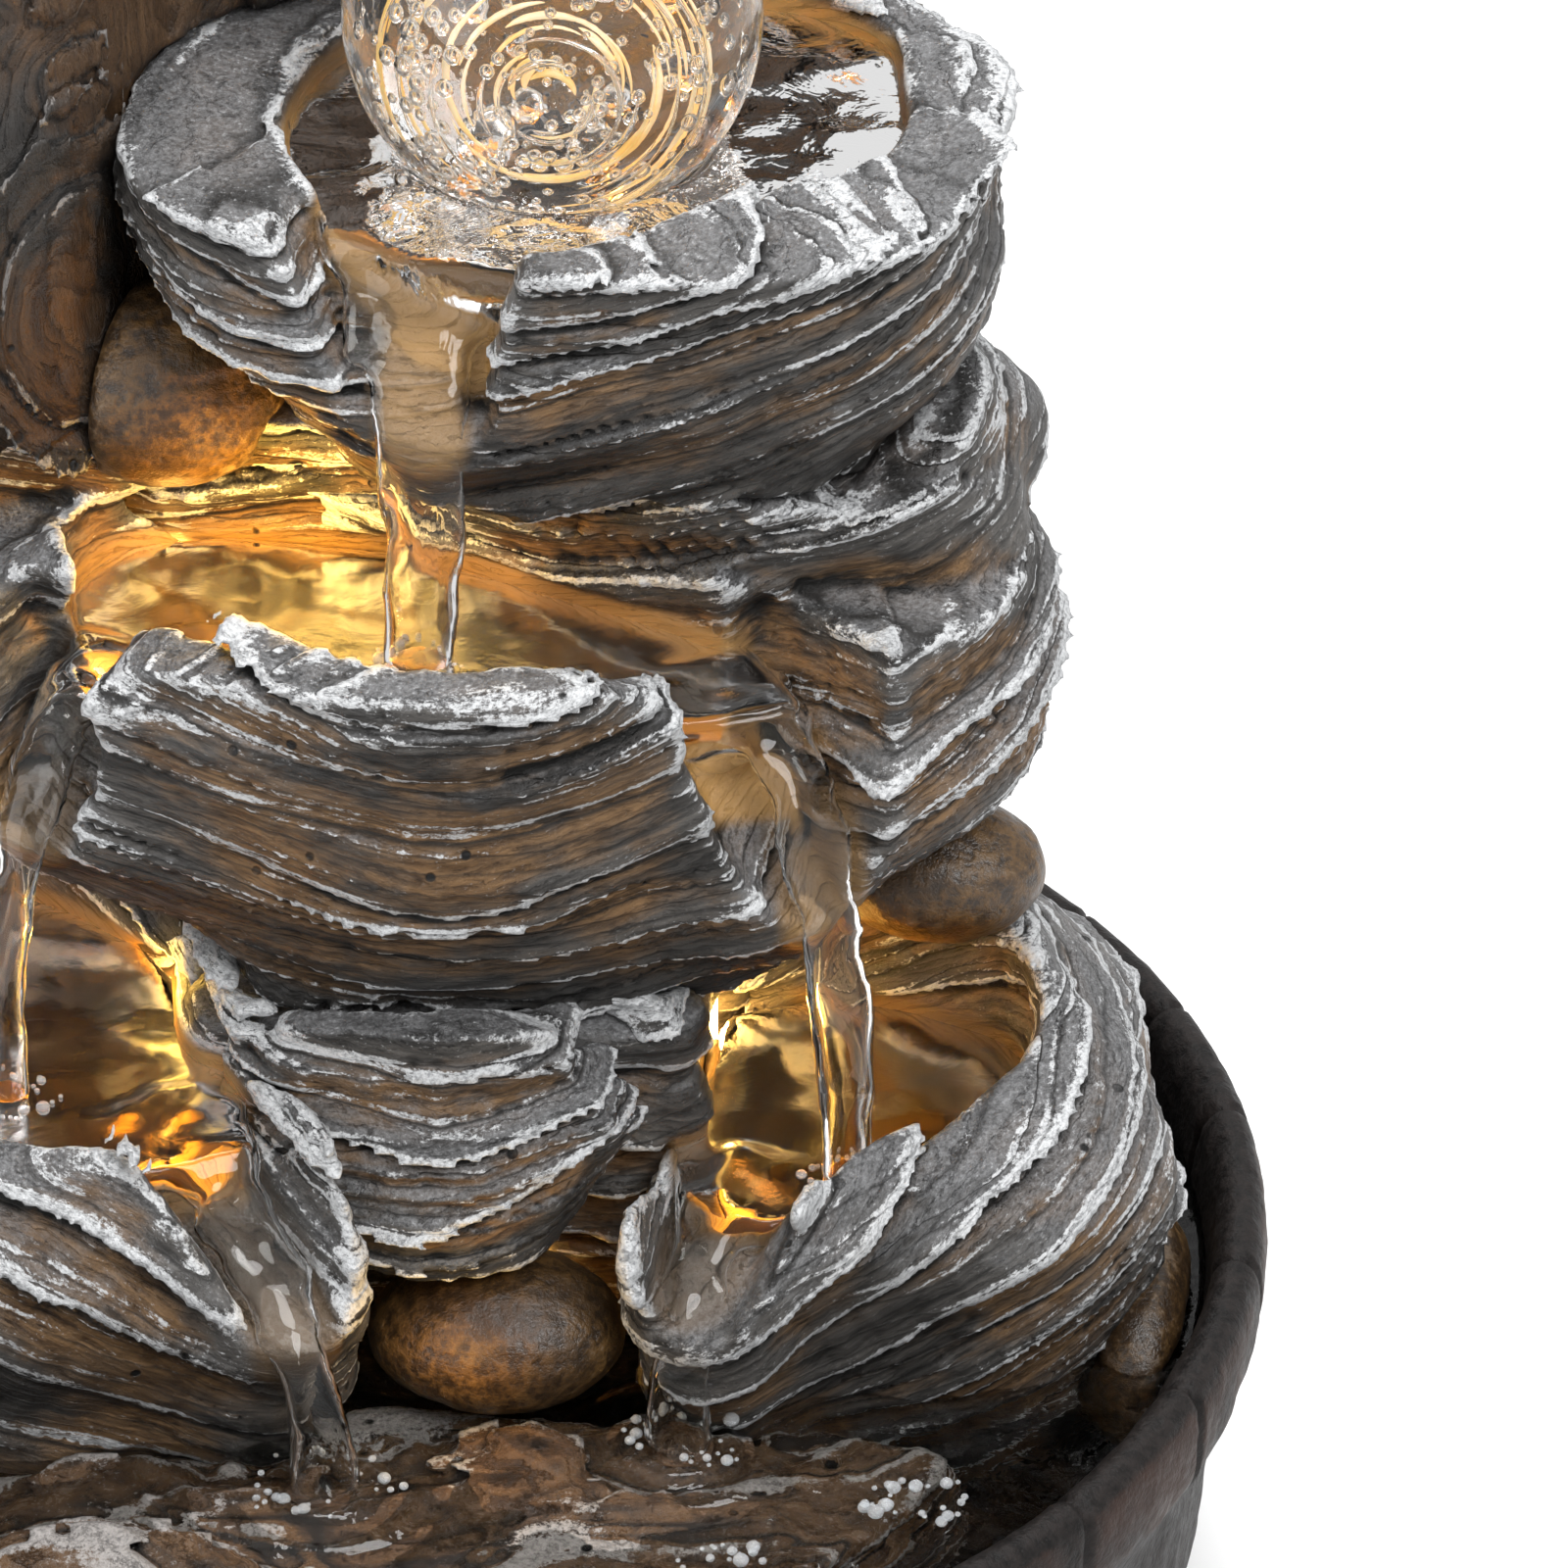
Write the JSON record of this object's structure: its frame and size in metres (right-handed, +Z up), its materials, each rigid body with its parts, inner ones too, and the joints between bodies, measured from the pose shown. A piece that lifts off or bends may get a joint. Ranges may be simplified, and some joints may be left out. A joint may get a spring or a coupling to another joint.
{
  "type": "tabletop water fountain",
  "caption": "Free-standing round-basin fountain: stacked slate-look rock pools with spouts, a glass ball turning on a water jet on top, lamps under each tier, and a pump inside.",
  "frame": {"origin": "on the table under the middle of the round basin", "axes": "+Z up, -Y towards the viewer at the front, +X to the viewer's right"},
  "size_m": [0.212, 0.212, 0.285],
  "materials": {
    "rock": "slate grey cast resin with white dry-brushed edges",
    "pebble": "smooth brown cast resin",
    "wet_ledge": "wet brown rock",
    "basin": "satin black-brown cast resin",
    "rubber": "matt black rubber",
    "ball_glass": "clear glass with bubbles",
    "clear_plastic": "clear moulded plastic",
    "black_plastic": "moulded black plastic",
    "ceramic": "ground ceramic",
    "ferrite": "grey ferrite",
    "steel": "laminated electrical steel",
    "copper": "enamelled copper winding",
    "resin": "cast potting resin",
    "circuit": "white solder-masked board",
    "lead": "black PVC"
  },
  "bodies": {
    "root": {"ball_bowl": "rock", "ball_nozzle": "black_plastic", "basin": "basin", "centre_rock": "rock", "cord_grommet": "rubber", "core_base": "rock", "core_head": "rock", "core_panel": "rock", "crag": "rock", "foot_pads": "rubber", "front_pebble": "pebble", "junction_box": "black_plastic", "lamp_ball": "black_plastic", "lamp_board_ball": "circuit", "lamp_board_front": "circuit", "lamp_board_left": "circuit", "lamp_board_middle": "circuit", "lamp_board_right": "circuit", "lamp_front": "black_plastic", "lamp_left": "black_plastic", "lamp_lens_ball": "clear_plastic", "lamp_lens_front": "clear_plastic", "lamp_lens_left": "clear_plastic", "lamp_lens_middle": "clear_plastic", "lamp_lens_right": "clear_plastic", "lamp_middle": "black_plastic", "lamp_right": "black_plastic", "lead_ball": "lead", "lead_front": "lead", "lead_left": "lead", "lead_middle": "lead", "lead_pump": "lead", "lead_right": "lead", "ledge_rock": "wet_ledge", "left_boulder": "pebble", "left_pool_rock": "rock", "middle_rock": "rock", "motor_resin": "resin", "pump_chamber": "black_plastic", "pump_housing": "black_plastic", "right_pebble": "pebble", "right_pool_rock": "rock", "rotor_shaft": "ceramic", "seal_ring": "rubber", "shaft_bush_front": "ceramic", "shaft_bush_rear": "ceramic", "side_rock": "pebble", "stator_coil": "copper", "stator_core": "steel", "suction_feet": "rubber", "supply_tube": "clear_plastic"},
    "ball": {"glass_ball": "ball_glass"},
    "rotor": {"impeller": "black_plastic", "rotor_magnet": "ferrite"},
    "rear_cover": {"rear_cover": "rock"},
    "intake": {"intake_cover": "black_plastic"},
    "dial": {"flow_dial": "black_plastic"}
  },
  "joints": [
    {"name": "ball_spin", "type": "hinge", "parent": "root", "child": "ball", "pos_m": [0.019, 0.047, 0.197], "axis": [0, 1, 0], "continuous": true},
    {"name": "rotor_spin", "type": "hinge", "parent": "root", "child": "rotor", "pos_m": [0.008, 0.04, 0.04], "axis": [0, 1, 0], "continuous": true},
    {"name": "rear_cover_pull", "type": "slide", "parent": "root", "child": "rear_cover", "axis": [0, 1, 0], "range_m": [0, 0.04]},
    {"name": "intake_pull", "type": "slide", "parent": "root", "child": "intake", "axis": [0, 1, 0], "range_m": [0, 0.008]},
    {"name": "dial_turn", "type": "hinge", "parent": "intake", "child": "dial", "pos_m": [0.008, 0.064, 0.04], "axis": [0, 1, 0], "range_deg": [0, 90]}
  ]
}
